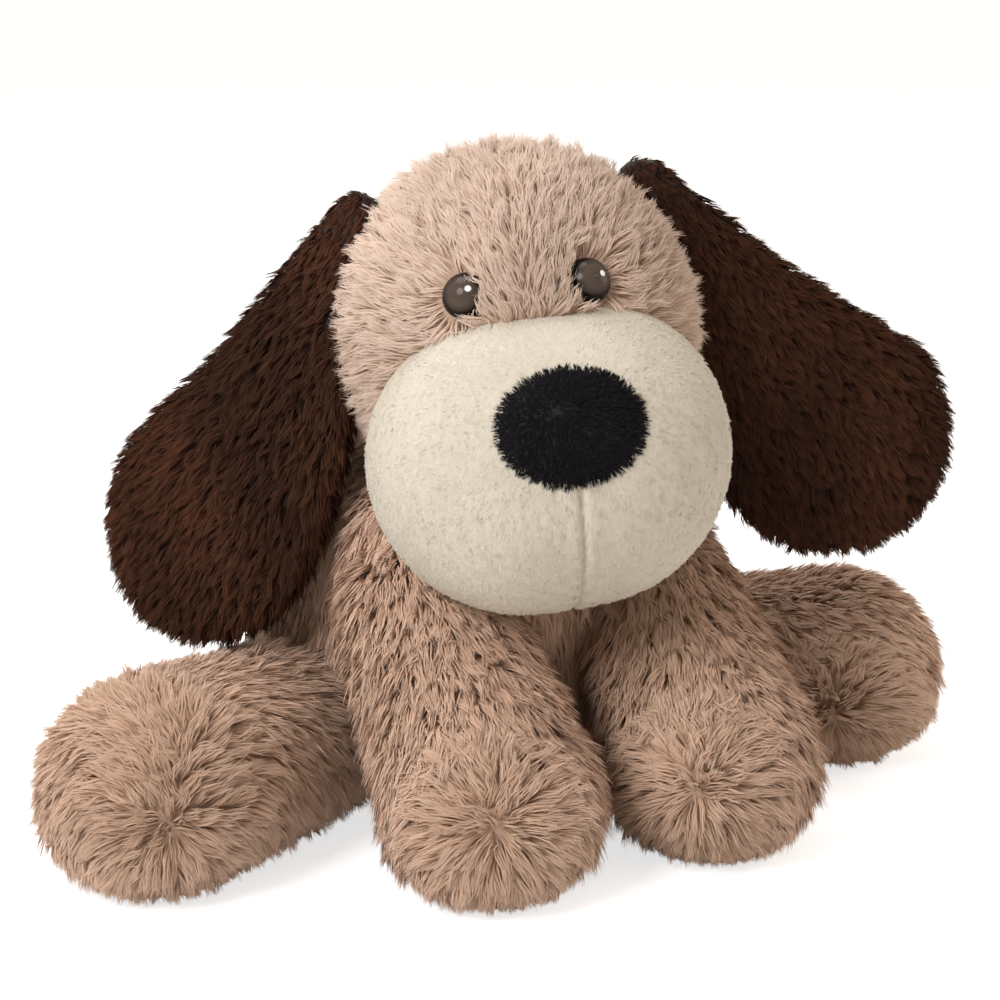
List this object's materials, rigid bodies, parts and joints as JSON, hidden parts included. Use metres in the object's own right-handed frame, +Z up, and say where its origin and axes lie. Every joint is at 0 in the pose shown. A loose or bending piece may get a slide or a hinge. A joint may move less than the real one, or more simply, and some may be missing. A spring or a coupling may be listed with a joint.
{
  "type": "plush dog",
  "caption": "Sitting plush dog with long tan pile, a big round cream muzzle, a black oval nose and two long brown floppy ears.",
  "frame": {"origin": "middle of the flat seat, on the floor under the torso", "axes": "+Z up, +X towards the dog's left, -Y towards its front"},
  "size_m": [0.3412, 0.2187, 0.234],
  "materials": {
    "fur_tan": "long-pile polyester fur, soft and matt",
    "fur_brown": "long-pile polyester fur, soft, with a slight sheen",
    "velboa_cream": "short-pile plush with a soft nap",
    "plush_black": "short-pile plush, matt",
    "filling": "loose hollow polyester fibre",
    "pellets": "loose plastic pellets",
    "pouch_cloth": "plain woven pouch",
    "eye_plastic": "glossy moulded plastic",
    "washer_plastic": "plain moulded plastic"
  },
  "bodies": {
    "torso": {"torso_panel_left": "fur_tan", "torso_panel_right": "fur_tan", "torso_seat": "fur_tan", "torso_stuffing": "filling", "pellet_pouch": "pouch_cloth", "pellet_fill": "pellets"},
    "neck": {"neck_stuffing": "filling"},
    "head": {"head_panel_left": "fur_tan", "head_panel_right": "fur_tan", "head_gusset": "fur_tan", "head_stuffing": "filling", "muzzle_panel_left": "velboa_cream", "muzzle_panel_right": "velboa_cream", "muzzle_stuffing": "filling", "nose_patch": "plush_black", "eye_left": "eye_plastic", "eye_right": "eye_plastic", "eye_washer_left": "washer_plastic", "eye_washer_right": "washer_plastic"},
    "ear_left": {"ear_left_front": "fur_brown", "ear_left_back": "fur_brown", "ear_left_wadding": "filling"},
    "ear_right": {"ear_right_front": "fur_brown", "ear_right_back": "fur_brown", "ear_right_wadding": "filling"},
    "front_leg_left": {"front_leg_left_outer": "fur_tan", "front_leg_left_inner": "fur_tan", "front_leg_left_stuffing": "filling"},
    "front_leg_right": {"front_leg_right_outer": "fur_tan", "front_leg_right_inner": "fur_tan", "front_leg_right_stuffing": "filling"},
    "hind_leg_left": {"hind_leg_left_front": "fur_tan", "hind_leg_left_back": "fur_tan", "hind_leg_left_sole": "fur_tan", "hind_leg_left_stuffing": "filling"},
    "hind_leg_right": {"hind_leg_right_front": "fur_tan", "hind_leg_right_back": "fur_tan", "hind_leg_right_sole": "fur_tan", "hind_leg_right_stuffing": "filling"}
  },
  "joints": [
    {"name": "head_nod", "type": "hinge", "parent": "torso", "child": "neck", "pos_m": [0, -0.038, 0.127], "axis": [1, 0, 0], "range_deg": [-10, 0], "stiffness_Nm_per_rad": 1.5},
    {"name": "head_turn", "type": "hinge", "parent": "neck", "child": "head", "pos_m": [0, -0.038, 0.127], "axis": [0, 0, 1], "range_deg": [-3, 17], "stiffness_Nm_per_rad": 0.3},
    {"name": "ear_left_flap", "type": "hinge", "parent": "head", "child": "ear_left", "pos_m": [0.0468, -0.07128, 0.21082], "axis": [-0.5357, 0.1223, 0.8355], "range_deg": [-12, 12], "stiffness_Nm_per_rad": 0.12},
    {"name": "ear_right_flap", "type": "hinge", "parent": "head", "child": "ear_right", "pos_m": [-0.05778, -0.03108, 0.19909], "axis": [0.3072, -0.2017, 0.93], "range_deg": [-12, 7], "stiffness_Nm_per_rad": 0.12},
    {"name": "front_leg_left_splay", "type": "hinge", "parent": "torso", "child": "front_leg_left", "pos_m": [0.044, -0.064, 0.086], "axis": [0, -1, 0], "range_deg": [-4, 20], "stiffness_Nm_per_rad": 0.1},
    {"name": "front_leg_right_splay", "type": "hinge", "parent": "torso", "child": "front_leg_right", "pos_m": [-0.044, -0.064, 0.086], "axis": [0, 1, 0], "range_deg": [-4, 20], "stiffness_Nm_per_rad": 0.1},
    {"name": "hind_leg_left_splay", "type": "hinge", "parent": "torso", "child": "hind_leg_left", "pos_m": [0.054, -0.008, 0.032], "axis": [0, 0, -1], "range_deg": [-20, 14], "stiffness_Nm_per_rad": 0.1},
    {"name": "hind_leg_right_splay", "type": "hinge", "parent": "torso", "child": "hind_leg_right", "pos_m": [-0.054, -0.008, 0.032], "axis": [0, 0, 1], "range_deg": [-20, 14], "stiffness_Nm_per_rad": 0.1}
  ]
}
